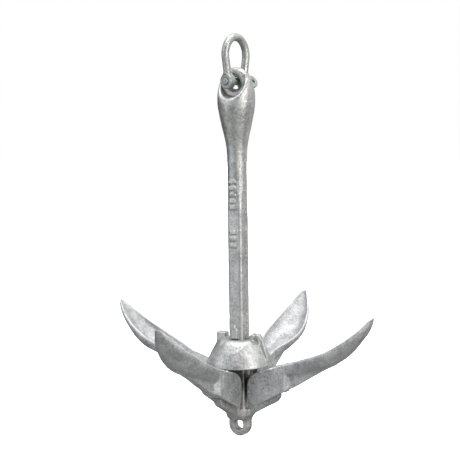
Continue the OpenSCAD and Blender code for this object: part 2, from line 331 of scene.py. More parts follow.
def add_part(name, mesh, body, node, material):
    """Object that replaces a CAD node and rides on a body."""
    vertices, quads = mesh
    me = bpy.data.meshes.new(name)
    me.vertices.add(len(vertices))
    me.vertices.foreach_set("co", (vertices / 1000).astype(np.float32).ravel())
    me.loops.add(quads.size)
    me.loops.foreach_set("vertex_index", quads.ravel().astype(np.int32))
    me.polygons.add(len(quads))
    me.polygons.foreach_set("loop_start", np.arange(0, quads.size, 4, dtype=np.int32))
    me.polygons.foreach_set("loop_total", np.full(len(quads), 4, np.int32))
    me.polygons.foreach_set("use_smooth", np.ones(len(quads), bool))
    me.update(calc_edges=True)
    me.validate()
    part = bpy.data.objects.new(name, me)
    bpy.context.scene.collection.objects.link(part)
    me.materials.append(material)
    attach(part, body)
    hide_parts(node)


def rotate(v, cos, sin):
    """Points turned about Z."""
    return np.stack([v[:, 0] * cos - v[:, 1] * sin, v[:, 0] * sin + v[:, 1] * cos, v[:, 2]], 1)


# ------------------------------------------------------------------ materials


class Shader:
    """Short calls for building a node tree."""

    def __init__(self, tree):
        self.tree = tree
        tree.nodes.clear()

    def add(self, kind, **settings):
        node = self.tree.nodes.new("ShaderNode" + kind)
        for key, value in settings.items():
            setattr(node, key, value)
        return node

    def plug(self, socket, value):
        """Links an output to the socket, or sets the socket's value."""
        if isinstance(value, bpy.types.NodeSocket):
            self.tree.links.new(value, socket)
        else:
            socket.default_value = value

    def noise(self, scale, detail, roughness=0.6, distortion=0.0, output="Fac"):
        node = self.add("TexNoise")
        node.inputs["Scale"].default_value = scale
        node.inputs["Detail"].default_value = detail
        node.inputs["Roughness"].default_value = roughness
        node.inputs["Distortion"].default_value = distortion
        self.plug(node.inputs["Vector"], self.position)
        return node.outputs[output]

    def voronoi(self, scale):
        node = self.add("TexVoronoi", feature="F1")
        node.inputs["Scale"].default_value = scale
        return node

    def first_channel(self, colour, channel=0):
        node = self.add("SeparateColor")
        self.plug(node.inputs[0], colour)
        return node.outputs[channel]

    def ramp(self, source, *stops):
        """Grey ramp through two (position, grey) stops."""
        node = self.add("ValToRGB")
        for element, (position, grey) in zip(node.color_ramp.elements, stops):
            element.position = position
            element.color = (grey, grey, grey, 1)
        self.plug(node.inputs[0], source)
        return node.outputs[0]

    def math(self, operation, a, b, clamp=False):
        node = self.add("Math", operation=operation, use_clamp=clamp)
        self.plug(node.inputs[0], a)
        self.plug(node.inputs[1], b)
        return node.outputs[0]

    def mix(self, factor, a, b, mode="MIX"):
        """Colour mix; a and b are outputs or RGB tuples."""
        node = self.add("Mix", data_type="RGBA", blend_type=mode)
        for index, value in ((0, factor), (6, a), (7, b)):
            self.plug(node.inputs[index], (*value, 1) if isinstance(value, tuple) else value)
        return node.outputs[2]


def scaled(colour, factor):
    return tuple(min(1, c * factor) for c in colour)


def crystal_cells(sh):
    """A random value for each zinc crystal, on cells with wobbly borders."""
    crystals = sh.voronoi(scale=0.42)
    wobbled = sh.add("VectorMath", operation="ADD")
    wobble = sh.noise(scale=0.5, detail=2, roughness=0.5, output="Color")
    wobble_size = sh.add("VectorMath", operation="SCALE")
    wobble_size.inputs["Scale"].default_value = 2.2
    sh.plug(wobble_size.inputs[0], wobble)
    sh.plug(wobbled.inputs[0], sh.position)
    sh.plug(wobbled.inputs[1], wobble_size.outputs[0])
    sh.plug(crystals.inputs["Vector"], wobbled.outputs[0])
    return sh.first_channel(crystals.outputs["Color"])


def pit_mask(sh, pits):
    """Small pits in patches, a few larger blow holes, and grit."""
    small = sh.voronoi(scale=0.85)
    sh.plug(small.inputs["Vector"], sh.position)
    patches = sh.noise(scale=0.16, detail=3.0)
    pit = sh.ramp(small.outputs["Distance"], (0.20, 1), (0.40, 0))
    pit = sh.math("MULTIPLY", pit, sh.ramp(patches, (0.46, 0), (0.60, 1)))
    grit = sh.ramp(sh.noise(scale=1.15, detail=2.0), (0.53, 0), (0.70, 1))
    large = sh.voronoi(scale=0.34)
    sh.plug(large.inputs["Vector"], sh.position)
    chance = sh.first_channel(large.outputs["Color"], channel=1)
    holes = sh.math("MULTIPLY", sh.ramp(large.outputs["Distance"], (0.14, 1), (0.34, 0)),
                    sh.ramp(chance, (0.80, 0), (0.90, 1)))
    pit = sh.math("MAXIMUM", pit, sh.math("MULTIPLY", holes, 0.9))
    pit = sh.math("MAXIMUM", pit, sh.math("MULTIPLY", grit, 0.6))
    return sh.math("MULTIPLY", pit, pits, clamp=True)


def add_painted_shade(sh, colour, dark, start, full, strength):
    """Painted shade: darkens the colour in blotches between the heights start and full."""
    xyz = sh.add("SeparateXYZ")
    sh.plug(xyz.inputs[0], sh.position)
    rise = sh.add("MapRange", interpolation_type="SMOOTHSTEP")
    rise.inputs[1].default_value = start
    rise.inputs[2].default_value = full
    sh.plug(rise.inputs[0], xyz.outputs[2])
    blotches = sh.ramp(sh.noise(scale=0.30, detail=4.0, roughness=0.65), (0.38, 0.55), (0.60, 1.0))
    amount = sh.math("MULTIPLY", rise.outputs[0], blotches)
    return sh.mix(sh.math("MULTIPLY", amount, strength, clamp=True), colour, scaled(dark, 0.10))


def zinc(name, light, dark, roughness, metallic=0.88, spangle=0.5, pits=0.6, tint=None,
         painted_shade=None):
    """Hot-dip zinc over a casting; light and dark are sRGB bytes.

    spangle is the contrast of the crystals, pits the strength of the pits, tint a colour cast
    and the last argument the (start, full, strength) of painted shade, darker between those
    heights.
    """
    light, dark = linear(light), linear(dark)
    material = bpy.data.materials.new(name)
    material.use_nodes = True
    sh = Shader(material.node_tree)
    output = sh.add("OutputMaterial")
    bsdf = sh.add("BsdfPrincipled")
    sh.plug(output.inputs[0], bsdf.outputs[0])
    coordinates = sh.add("TexCoord")
    mapping = sh.add("Mapping")
    mapping.inputs["Scale"].default_value = (1000, 1000, 1000)    # the textures work in mm
    sh.plug(mapping.inputs[0], coordinates.outputs["Object"])
    sh.position = mapping.outputs[0]

    # broad and fine mottling
    broad = sh.noise(scale=0.085, detail=5.0, roughness=0.62, distortion=0.35)
    colour = sh.mix(sh.ramp(broad, (0.36, 0), (0.64, 1)), dark, light)
    fine = sh.noise(scale=0.55, detail=6.0, roughness=0.68)
    fine_mask = sh.math("MULTIPLY", sh.ramp(fine, (0.30, 0), (0.70, 1)), 0.55)
    colour = sh.mix(fine_mask, colour, scaled(light, 1.18))

    # each crystal has its own shade, centred on 1
    crystal = crystal_cells(sh)
    shade = sh.math("ADD", sh.math("MULTIPLY", crystal, 0.34 * spangle), 1 - 0.17 * spangle)
    shade_colour = sh.add("CombineColor")
    for channel in range(3):
        sh.plug(shade_colour.inputs[channel], shade)
    colour = sh.mix(1.0, colour, shade_colour.outputs[0], mode="MULTIPLY")

    # grain of the coat, then dark pits
    grain = sh.ramp(sh.noise(scale=0.80, detail=3.0), (0.36, 0.84), (0.64, 1.12))
    colour = sh.mix(1.0, colour, grain, mode="MULTIPLY")
    pit = pit_mask(sh, pits)
    colour = sh.mix(pit, colour, scaled(dark, 0.38))

    # painted highlight and painted shade: ridges are painted lighter, hollow corners darker
    geometry = sh.add("NewGeometry")
    ridges = sh.ramp(geometry.outputs["Pointiness"], (0.505, 0), (0.56, 1))
    corners = sh.ramp(geometry.outputs["Pointiness"], (0.43, 1), (0.495, 0))
    colour = sh.mix(sh.math("MULTIPLY", ridges, 0.5), colour, scaled(light, 1.35))
    colour = sh.mix(sh.math("MULTIPLY", corners, 0.5), colour, scaled(dark, 0.5))
    if tint is not None:
        colour = sh.mix(0.35, colour, tint, mode="MULTIPLY")
    # painted shade: the colour is darkened in blotches between two heights
    if painted_shade is not None:
        colour = add_painted_shade(sh, colour, dark, *painted_shade)
    sh.plug(bsdf.inputs["Base Color"], colour)
    bsdf.inputs["Metallic"].default_value = metallic

    # roughness varies with the mottling, the crystals and the pits
    rough = sh.math("ADD", sh.math("MULTIPLY", fine, 0.30), roughness - 0.15)
    crystal_change = sh.math("MULTIPLY", sh.math("SUBTRACT", crystal, 0.5), 0.14)
    rough = sh.math("ADD", rough, crystal_change)
    rough = sh.math("ADD", rough, sh.math("MULTIPLY", pit, 0.25), clamp=True)
    sh.plug(bsdf.inputs["Roughness"], rough)

    # bump: orange peel, grit and pits
    peel = sh.math("MULTIPLY", sh.noise(scale=0.42, detail=3.0), 0.42)
    grit = sh.math("MULTIPLY", sh.noise(scale=1.0, detail=3.0, roughness=0.65), 0.16)
    height = sh.math("ADD", peel, grit)
    height = sh.math("SUBTRACT", height, sh.math("MULTIPLY", pit, 0.30))
    bump = sh.add("Bump")
    bump.inputs["Strength"].default_value = 0.60
    bump.inputs["Distance"].default_value = 0.0009
    sh.plug(bump.inputs["Height"], height)
    sh.plug(bsdf.inputs["Normal"], bump.outputs[0])
    return material


def linear(colour):
    """Linear RGB of an sRGB colour in bytes."""
    return tuple((c / 255 / 12.92) if c / 255 <= 0.04045 else ((c / 255 + 0.055) / 1.055) ** 2.4
                 for c in colour)


SHANK_ZINC = zinc("zinc_shank", (202, 203, 201), (158, 159, 157), roughness=0.34)
# the crown is painted darker from z 33 upward, fully from z 47: painted shade under the fluke
# roots
CROWN_ZINC = zinc("zinc_crown", (192, 193, 192), (140, 141, 140), roughness=0.42, metallic=0.8,
                  pits=0.8, painted_shade=(33.0, 47.0, 0.85))
COLLAR_ZINC = zinc("zinc_collar", (202, 203, 202), (156, 158, 157), roughness=0.38, pits=0.7)
FLUKE_ZINC = zinc("zinc_fluke", (206, 207, 208), (160, 161, 162), roughness=0.42, metallic=0.74,
                  pits=0.75)
PIN_ZINC = zinc("zinc_pins", (180, 182, 181), (140, 142, 141), roughness=0.38)
BOW_ZINC = zinc("zinc_shackle", (190, 192, 190), (146, 148, 146), roughness=0.36, spangle=0.35,
                pits=0.5)
SCREW_ZINC = zinc("zinc_screw_pin", (184, 190, 188), (140, 147, 145), roughness=0.38,
                  spangle=0.3, tint=(0.94, 1.0, 0.98))

# ------------------------------------------------------------------ flukes

# Palm stations from root to tip: rim x, z; underside x, z; share of the half width;
# height of the upright strip below the rim
PALM = spline([
    [42, 66.0, 44, 53, 0.40, 6.5],
    [55, 70.2, 57.3, 57.6, 0.585, 4.2],
    [66, 74.0, 70, 62.2, 0.83, 3.0],
    [76, 77.8, 81.5, 66.6, 0.97, 2.6],
    [86, 82.2, 93.2, 71.0, 1, 2.4],
    [95, 87.2, 102.7, 77.4, 0.935, 2.2],
    [103, 92.4, 110, 84.7, 0.82, 2.0],
    [110, 97.7, 116.3, 92.4, 0.68, 1.8],
    [116.5, 103.5, 121.4, 98.9, 0.49, 1.4],
    [121.7, 109.0, 125.0, 105.4, 0.30, 1.0],
    [126.2, 113.4, 126.8, 112.4, 0.15, 0.5]], 8)
RIM = PALM[:, :2]
STATION = PALM[:, 2:4] - RIM        # from the rim to the underside
HALF_WIDTH = PALM[:, 4] * 17.8
STRIP = PALM[:, 5]
PALM_WALL = 3.8

# Side outline (x, z) of the hinge root
ROOT = np.concatenate([
    [[20.5, 30.4], [32.5, 36.6], [48.3, 45.2], [52.6, 47.6], [53.4, 54], [52.5, 62],
     [49.5, 68.3], [42, 66.0]],
    spline([[26.5, 61.1], [19.5, 58.2], [14.6, 54], [12.5, 49], [12.2, 43], [12.3, 37],
            [13.6, 33.4], [16.5, 31.1]], 5)])
# Side outline (x, z) of the keel under the palm
KEEL = np.concatenate([
    [[44, 43.1]],
    spline([[48, 45.0], [52, 46.9], [56, 49.1], [63.5, 53.8], [71.2, 58.4], [78.5, 62.8],
            [85.4, 66.6], [92, 70.4]], 3),
    [[90, 74], [78, 70], [64, 65], [46, 60]]])
CHEEK_HALF = 9.2        # half thickness of the root
KEEL_HALF = 4.6         # half thickness of the keel at its thick end
SLOT_HALF = 4.3         # half width of the slot for the crown's rib


def palm_field(x, y, z):
    """Cupped palm: each point of the XZ plane is placed on the station line through it."""
    last = len(RIM) - 1
    px, pz = np.broadcast_arrays(x[:, 0, :], z[0, 0, :][None, :])

    def along(table, t):
        i = np.clip(t.astype(int), 0, last - 1)
        w = (t - i)[..., None] if table.ndim == 2 else (t - i)
        return table[i] * (1 - w) + table[i + 1] * w

    def side(t):
        e, d = along(RIM, t), along(STATION, t)
        return (px - e[..., 0]) * d[..., 1] - (pz - e[..., 1]) * d[..., 0]

    start = np.zeros(px.shape, f32)
    end = np.full(px.shape, float(last), f32)
    first_side = side(start)
    for _ in range(22):     # bisection
        middle = (start + end) / 2
        same = (side(middle) > 0) == (first_side > 0)
        start = np.where(same, middle, start)
        end = np.where(same, end, middle)
    t = (start + end) / 2
    e, d = along(RIM, t), along(STATION, t)
    depth = np.hypot(d[..., 0], d[..., 1]) + 1e-6
    # distance below the rim, and distance beyond the ends of the loft
    q = ((px - e[..., 0]) * d[..., 0] + (pz - e[..., 1]) * d[..., 1]) / depth
    beyond = np.abs(side(t)) / depth
    half = np.maximum(along(HALF_WIDTH, t), 0.6)
    strip = along(STRIP, t)
    q, depth, half, beyond, strip = (a[:, None, :].astype(f32)
                                     for a in (q, depth, half, beyond, strip))
    inner_half = half - np.minimum(PALM_WALL * 0.60, half * 0.55)
    inner_depth = depth - np.minimum(PALM_WALL, depth * 0.6)
    power = 2.15                    # a little squarer than an ellipse
    outer = ((np.abs(y) / half) ** power
             + (np.maximum(q - strip, 0) / (depth - strip)) ** 1.85) ** 0.5 - 1
    inner = ((np.abs(y) / inner_half) ** power
             + (np.maximum(q, 0) / inner_depth) ** power) ** (1 / power) - 1
    palm = cut(outer * np.minimum(half, depth), inner * np.minimum(inner_half, inner_depth), 1.1)
    palm = cut(palm, q, 1.3)
    return intersect(palm, beyond - 0.3, 0.8)


def normalise(field, cell):
    """Divides by the slope, so that the field is closer to a true distance."""
    g = np.gradient(field, cell)
    slope = np.sqrt(g[0] ** 2 + g[1] ** 2 + g[2] ** 2)
    return field / np.maximum(slope, 0.35)


def rib_slot(x, y, z):
    """Slot round the hinge, open on the axis side of one line and below another."""
    dx, dz = x - HINGE_R, z - HINGE_Z

    def beyond_line(degrees, sense):
        a = math.radians(degrees)
        return -(dx * (-sense * math.sin(a)) + dz * (sense * math.cos(a)))

    opening = np.minimum(beyond_line(76, 1), beyond_line(-11.3, -1))
    return extrude(np.minimum(np.hypot(dx, dz) - 13.2, opening), y, SLOT_HALF, 0.3)


def fluke_mesh(seed, cell):
    low = (9.5, -20.5, 24.5)
    x, y, z = grid(low, (129.5, 20.5, 117), cell)
    palm = normalise(palm_field(x, y, z), cell)
    root = extrude(polygon(x, z, ROOT), y, CHEEK_HALF, 0.6)
    root = intersect(root, (x + np.abs(y) - 57) * 0.7071, 0.7)    # slanted ends of the cheeks
    # keel that thins toward the tip
    thickness = KEEL_HALF - 2.2 * smoothstep(70, 92, x)
    keel = extrude(polygon(x, z, KEEL), y / thickness * KEEL_HALF, KEEL_HALF, 1.0)
    solid = union(palm, keel, 2.2)
    solid = union(solid, root, 1.0)

    # zinc drips on the top edges of the cheeks
    rng = np.random.default_rng(seed)
    for side in (-1, 1):
        for _ in range(7):
            drip_x = rng.uniform(24, 38)
            drip_z = 61.1 + (drip_x - 26.5) * 0.316 - rng.uniform(0.5, 1.3)
            radius = rng.uniform(0.6, 1.05)
            drip = np.sqrt((x - drip_x) ** 2 * 0.6 + (y - side * 9.15) ** 2
                           + (z - drip_z) ** 2) - radius
            solid = union(solid, drip, 0.9)
    solid = cut(solid, rib_slot(x, y, z), 0.5)
    # pin hole, closed by the zinc on the outside
    hole = np.maximum(np.hypot(x - HINGE_R, z - HINGE_Z) - 3.5, np.abs(y) - 8.8)
    solid = np.maximum(solid, -hole)

    def relief(p):
        out = waves(p, 0.13, seed)
        out = out + pimples(p, seed + 30, pitch=6.0, radius=0.8, height=0.20, share=0.16)
        # the hinge faces stay true
        outward = np.clip((np.abs(p[:, 1]) - 4.2) / 1.5, 0, 1)
        return out * outward + out * (1 - outward) * (p[:, 0] > 50)

    return to_mesh(solid, low, cell, relief)


for i in range(4):
    vertices, quads = fluke_mesh(11 + 7 * i, 0.6 * COARSEN)
    angle = math.radians(90 * i)
    vertices = rotate(vertices, round(math.cos(angle), 12), round(math.sin(angle), 12))
    add_part(f"fluke_casting_{i + 1}", (vertices, quads), f"fluke_body_{i + 1}",
             f"fluke_{i + 1}", FLUKE_ZINC)

# ------------------------------------------------------------------ crown

# Half outline (distance from the axis, z) of a rib, with its corner radii
RIB = round_corners(
    [[-2, 15.2], [5, 15.3], [9, 17.1], [13.5, 20.4], [20, 24.0], [27.5, 28.3],
     [33.8, 31.5], [36.9, 33.7], [39.2, 36.9], [39.8, 39.2], [38.2, 41.4],
     [36, 45], [34, 53], [25, 56.2], [20.5, 53.2], [16, 51.7], [-2, 51.7]],
    [1, 2, 2, 4, 4, 4, 2, 2, 1.5, 1.0, 0.8, 4, 8, 8, 3, 3, 1])
RIB_HALF = 4.0
EYE_Z, EYE_R, EYE_HOLE_R = 10, 10, 4.5
FOOT_R = 6.0            # round foot of the shank, and its socket in the crown


def crown_mesh(cell):
    low = (-44, -44, -1.5)
    x, y, z = grid(low, (44, 44, 62.5), cell)

    def rib(along, across):
        disc = np.hypot(np.abs(along) - HINGE_R, z - HINGE_Z) - 11.9
        outline = union(polygon(np.abs(along), z, RIB), disc, 1.0)
        return extrude(outline, across, RIB_HALF, 0.9)

    solid = union(rib(x, y), rib(y, x), 1.6)
    hub = extrude(box(x, y, 9, 9, 2.0), z - 38, 22, 0.8)
    solid = union(solid, hub, 1.8)
    # stepped round shoulder above the eye
    shoulder_r = 12.6 - 3.0 * smoothstep(20, 14, z) - 3.4 * smoothstep(24.4, 27.5, z)
    shoulder = intersect(np.hypot(x, y) - shoulder_r, np.abs(z - 21.4) - 6.2, 0.8)
    solid = union(solid, shoulder, 1.6)
    eye_centre = np.hypot(x, z - EYE_Z)
    eye = np.minimum(eye_centre - EYE_R, box(x, z - 16, EYE_R, 6, 1))
    solid = union(solid, extrude(eye, y, RIB_HALF, 1.7), 1.6)
    solid = cut(solid, eye_centre - EYE_HOLE_R, 1.0)
    for along in (x, y):
        bore = np.hypot(np.abs(along) - HINGE_R, z - HINGE_Z) - 3.55
        solid = np.maximum(solid, -bore)
    socket = np.maximum(np.hypot(x, y) - FOOT_R, 30 - z)
    solid = np.maximum(solid, -socket)

    def relief(p):
        out = waves(p, 0.18, 71) + pimples(p, 90, pitch=5.0, radius=0.9, height=0.28, share=0.22)
        # the ribs stay true where the flukes turn
        reach = np.maximum(np.abs(p[:, 0]), np.abs(p[:, 1]))
        near = np.clip((reach - 9.5) / 2, 0, 1) * np.clip((p[:, 2] - 27) / 4, 0, 1)
        return flatten(out, near, 0.5)

    return to_mesh(solid, low, cell, relief)


add_part("crown_casting", crown_mesh(0.6 * COARSEN), "frame", "crown", CROWN_ZINC)

# ------------------------------------------------------------------ collar

# Section (radius, z) of the bell: bottom edge, outside, top and its underside, inside
BELL = round_corners(np.concatenate([
    [[28.2, 63.1]],
    spline([[28.8, 63.6], [28.65, 64.5], [28.2, 66.2], [27.5, 68.0], [26.45, 70.4], [25.2, 72.8],
            [23.6, 76.1], [21.7, 79.5], [20.0, 82.2], [18.2, 84.1], [16.2, 85.3]], 3),
    [[14.2, 85.8], [0, 85.8], [0, 80.2], [13, 80.2]],
    [[18.3, 78.7], [19.6, 76.1], [21.2, 72.8], [22.45, 70.4], [23.5, 68.0], [24.3, 65.1],
     [24.6, 63.1]]]), 0.5, steps=2)
# Outlines (distance from the axis, z) of the -X horn, the +X horn and the +X gusset
HORN_LEFT = round_corners([[12.5, 80], [12.5, 90.5], [20.6, 90.8], [21.5, 89.6], [21.7, 78]],
                          [1, 0.8, 0.8, 0.8, 1])
HORN_RIGHT = round_corners([[12.5, 80], [12.5, 90.2], [14.4, 91.3], [16.6, 90.0], [19.2, 90.9],
                            [21.5, 89.2], [21.8, 78]], [1, 0.6, 0.6, 0.6, 0.8, 1.0, 1])
GUSSET = round_corners([[17, 80], [20.4, 88.8], [22.0, 88.8], [23.4, 86.0], [26.0, 79.2],
                        [28.0, 72.6], [28.8, 67.8], [22, 68]], [1, 1, 0.8, 2, 3, 2, 1, 1])
HORN_HALF = 3.8


def collar_mesh(cell):
    low = (-31.5, -31.5, 61)
    x, y, z = grid(low, (31.5, 31.5, 93.5), cell)
    radius = np.hypot(x, y)
    solid = revolve(radius, z, BELL, 46) - 0.1
    left = extrude(polygon(-x, z, HORN_LEFT), y, HORN_HALF, 0.8)
    wavy_y = y + 0.15 * np.sin(x * 1.3)
    right = extrude(polygon(x, z, HORN_RIGHT), wavy_y, HORN_HALF, 0.9)
    solid = union(solid, np.minimum(left, right), 1.3)
    solid = union(solid, extrude(polygon(x, z, GUSSET), y, 2.2, 0.9), 1.3)
    # round hole for the shank, with a keyway along Y
    hole = np.maximum(radius - 9.0, 60 - z)
    keyway = box(x, y, 3.4, 10.3, 0.8)
    solid = cut(solid, np.minimum(hole, keyway), 0.9)

    def relief(p):
        out = waves(p, 0.20, 131) + pimples(p, 150, pitch=4.2, radius=1.0, height=0.34, share=0.34)
        # rough top of the +X horn
        rough = np.clip((p[:, 2] - 86) / 2, 0, 1) * (p[:, 0] > 9)
        out = out + rough * (noise(p, 1.5, 8) * 0.35 + noise(p, 0.9, 9) * 0.15)
        in_hole = (np.hypot(p[:, 0], p[:, 1]) < 11) & (p[:, 2] < 85.6)
        return np.where(in_hole, np.minimum(out, 0), out)

    return to_mesh(solid, low, cell, relief)


add_part("collar_casting", collar_mesh(0.55 * COARSEN), "collar_body", "collar",
         COLLAR_ZINC)

# ------------------------------------------------------------------ shank

SHANK_HALF = 7.2                # half width of the square part
ROUND_GROWTH = 1.0              # how much further out the round part starts
SQUARE_TO_ROUND = (197, 217)    # heights over which the square turns round
HEAD_R, HEAD_Z, HEAD_RISE = 16.2, 292, 28     # widest place of the head, and its top above it
# Section (radius, z) of the round part: flaring side, then a superellipse over the head
SHANK_PROFILE = np.concatenate([
    [[-30, 150], [7.8, 150]],
    spline([[7.8, 190], [8.25, 212], [8.32, 226], [8.42, 239], [8.85, 250], [10.5, 260],
            [12.9, 270], [14.9, 280], [15.95, 287], [HEAD_R, HEAD_Z]], 5),
    [[HEAD_R * math.cos(a) ** (2 / 2.3), HEAD_Z + HEAD_RISE * math.sin(a) ** (2 / 2.3)]
     for a in np.radians(np.arange(4, 86, 4.0))],
    [[0, 320], [-30, 320]]])
# Outline (x, z) of the lugs on the +Y and -Y flats
LUG = round_corners([[-2.9, 86.2], [2.9, 86.2], [2.9, 94.6], [0, 98.2], [-2.9, 94.6]],
                    [0.3, 0.3, 1.2, 1.0, 1.2])
# Heights of the raised bars on the -Y flat
BAR_HEIGHTS = (222.4, 216.8, 211.2, 205.6, 200.0, 178.5, 172.9, 167.3)
WAIST_R, LIP_R = 8.8, 4.0       # hourglass hole: centre circle and radius of its lip
POCKET_R = 10.3                 # pocket round the hole on each side


def hourglass(x, y, z):
    """What the head keeps round the shackle's hole: a rounded lip and the pocket wall."""
    waist = np.hypot(x, z - np.clip(z, 306.1, 306.25))
    pocket = np.hypot(x, z - np.clip(z, 305, 310.4))
    depth = np.abs(y)
    lip = np.where(waist < WAIST_R, np.hypot(waist - WAIST_R, y), depth) - LIP_R
    wall = (POCKET_R + 1.7 / 16 * (depth - LIP_R) - pocket) * 0.99
    return union(lip, wall, 1.2)


def shank_mesh(cell):
    low = (-18, -18, 29)
    x, y, z = grid(low, (18, 18, 321.5), cell)
    radius = np.hypot(x, y)
    rounded = revolve(radius, z, SHANK_PROFILE, 26)
    square = box(x, y, SHANK_HALF, SHANK_HALF, 3.2)
    roundness = smoothstep(*SQUARE_TO_ROUND, z)
    solid = square * (1 - roundness) + rounded * roundness
    solid = intersect(solid, 61 - z, 0.8)
    lugs = extrude(polygon(x, z, LUG), np.abs(y) - 6.6, 2.8, 0.8)
    solid = union(solid, lugs, 1.2)
    for height in BAR_HEIGHTS:
        growth = smoothstep(*SQUARE_TO_ROUND, np.array([height], f32))[0]
        flat = SHANK_HALF + ROUND_GROWTH * growth
        bar = np.maximum(box(x + 0.6, z - height, 3.3, 1.75, 1.6), np.abs(y + flat - 0.1) - 0.66)
        solid = union(solid, bar, 0.7)
    head = intersect(solid, hourglass(x, y, z), 5.5)
    solid = np.where(z > 284, head, solid)

    # parting-line flash of uneven thickness down the +X and -X sides
    zeros = np.zeros(z.size)
    uneven = noise(np.stack([zeros, zeros, z.ravel()], 1), 2.1, 5)
    flash_r = (0.62 + 0.42 * uneven).reshape(1, 1, -1)
    surface_x = SHANK_HALF * (1 - roundness) + (SHANK_HALF + ROUND_GROWTH) * roundness
    flash = np.hypot(np.abs(x) - surface_x + 0.15, y - 1.3) - flash_r
    flash = np.maximum(flash + 0.9 * smoothstep(226, 246, z), np.abs(z - 165) - 83)
    solid = union(solid, flash, 0.7)
    foot = np.maximum(radius - FOOT_R, np.maximum(31 - z, z - 70))
    solid = np.minimum(solid, foot)

    def relief(p):
        out = waves(p, 0.15, 201) + pimples(p, 220, pitch=4.6, radius=0.8, height=0.26, share=0.25)
        # the raised bars are rough on top
        on_bars = ((p[:, 1] < -7.35) & (np.abs(p[:, 0] + 0.6) < 3.4)
                   & (np.abs(p[:, 2] - 194) < 32))
        out = out + on_bars * (noise(p, 1.7, 44) * 0.22)
        # the foot is plain, and the zinc stays thin where the shackle turns
        foot_part = p[:, 2] < 61.5
        by_hole = (p[:, 2] > 296) & (np.hypot(p[:, 0], p[:, 2] - 307) < 12.5)
        return np.where(foot_part, 0, np.where(by_hole, out * 0.4 - 0.05, out))

    return to_mesh(solid, low, cell, relief)


add_part("shank_casting", shank_mesh(0.62 * COARSEN), "frame", "shank", SHANK_ZINC)

# ------------------------------------------------------------------ shackle

# Built with the pin along Y and the bow up +Z, then turned about Z and lifted
SHACKLE_YAW = math.radians(-16)
SHACKLE_Z = 307.6
EYE_Y = 9.5             # middle of each eye
WIRE_R = 3.25           # also half the thickness of an eye


def place_shackle(mesh):
    vertices, quads = mesh
    turned = rotate(vertices, math.cos(SHACKLE_YAW), math.sin(SHACKLE_YAW))
    return turned + (0, 0, SHACKLE_Z), quads


def arc(centre_y, centre_z, radius, start, end, count):
    return [(centre_y + radius * math.cos(math.radians(t)),
             centre_z + radius * math.sin(math.radians(t)))
            for t in np.linspace(start, end, count)]


# Centre line (y, z) of one half of the bow: straight leg, side arc, top arc
BOW_LINE = [(EYE_Y, 0.0), (9.47, 4.0)]
BOW_LINE += arc(-4.8, 22.6, 17, -9, 42.74, 16)
BOW_LINE += arc(0, 27.04, 10.46, 46, 90, 14)


def bow_mesh(cell):
    low = (-8.6, -17.2, -8.6)
    x, y, z = grid(low, (8.6, 17.2, 43), cell)
    side = np.abs(y)
    nearest = np.full((1, y.shape[1], z.shape[2]), 1e9, f32)
    for (ya, za), (yb, zb) in zip(BOW_LINE[:-1], BOW_LINE[1:]):
        t = np.clip(((side - ya) * (yb - ya) + (z - za) * (zb - za))
                    / ((yb - ya) ** 2 + (zb - za) ** 2), 0, 1)
        squared = (side - ya - (yb - ya) * t) ** 2 + (z - za - (zb - za) * t) ** 2
        nearest = np.minimum(nearest, squared)
    wire = np.sqrt(nearest + x * x) - WIRE_R
    eye = extrude(np.hypot(x, z) - 6.8, side - EYE_Y, WIRE_R, 1.1)
    solid = union(wire, eye, 2.2)
    # flat outer and inner faces on the eyes, which let go higher up
    outer_face = side - (EYE_Y + WIRE_R) - 0.001 - 8 * smoothstep(5, 12, z)
    solid = intersect(solid, outer_face, 0.6)
    solid = cut(solid, side - (EYE_Y - WIRE_R) + 8 * smoothstep(7, 12, z), 0.5)
    solid = cut(solid, np.hypot(x, z) - 3.28, 0.5)

    def relief(p):
        out = waves(p, 0.10, 301) + pimples(p, 320, pitch=4.0, radius=0.8, height=0.2, share=0.22)
        return flatten(out, np.clip((12 - p[:, 2]) / 4, 0, 1), 0.6)

    return to_mesh(solid, low, cell, relief)


add_part("shackle_bow_forging", place_shackle(bow_mesh(0.42 * COARSEN)), "shackle_body",
         "shackle_bow", BOW_ZINC)

ROD_R = 3.2
THREAD_R, THREAD_DEPTH, THREAD_PITCH = 3.07, 0.13, 1.25
TAB_LEAN = math.radians(-26)


def pin_mesh(cell):
    low = (-6.8, -15.5, -6.8)
    x, y, z = grid(low, (6.8, 26.5, 6.8), cell)
    radius = np.hypot(x, z)
    ends = np.abs(y - 0.6) - 14.2
    rod = intersect(radius - ROD_R, ends, 0.7)
    # shallow thread at the -Y end
    thread = THREAD_DEPTH * np.cos(2 * math.pi * (y / THREAD_PITCH) - np.arctan2(z, x))
    rod = np.where(y < -6.4, intersect(radius - THREAD_R - thread, ends, 0.6), rod)
    flange = intersect(radius - 4.6, np.abs(y - 13.6) - 0.6, 0.4)
    # leaning round tab with a small hole, at the +Y end
    cos, sin = math.cos(TAB_LEAN), math.sin(TAB_LEAN)
    tab_x, tab_z = x * cos - z * sin, x * sin + z * cos
    disc = np.hypot(y - 19, tab_z) - 5.6
    neck = box(y - 16, tab_z, 2.5, 4.5, 0.8)
    tab = extrude(union(disc, neck, 2.0), tab_x, 1.5, 0.7)
    solid = union(rod, flange, 0.5)
    solid = union(solid, tab, 1.2)
    solid = cut(solid, np.hypot(y - 20, tab_z) - 1.6, 0.5)

    def relief(p):
        out = waves(p, 0.07, 401)
        return np.where(p[:, 1] < 13.2, np.minimum(out, 0) * 0.4, out)

    return to_mesh(solid, low, cell, relief)


add_part("shackle_screw_pin", place_shackle(pin_mesh(0.34 * COARSEN)), "screw_pin_body",
         "shackle_pin", SCREW_ZINC)

# ------------------------------------------------------------------ CAD pins and rivet, kept

for name in ("fluke_pin_1", "fluke_pin_2", "fluke_pin_3", "fluke_pin_4", "crown_rivet"):
    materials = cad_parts[name].data.materials
    materials.clear()
    materials.append(PIN_ZINC)

# ------------------------------------------------------------------ studio (metres)

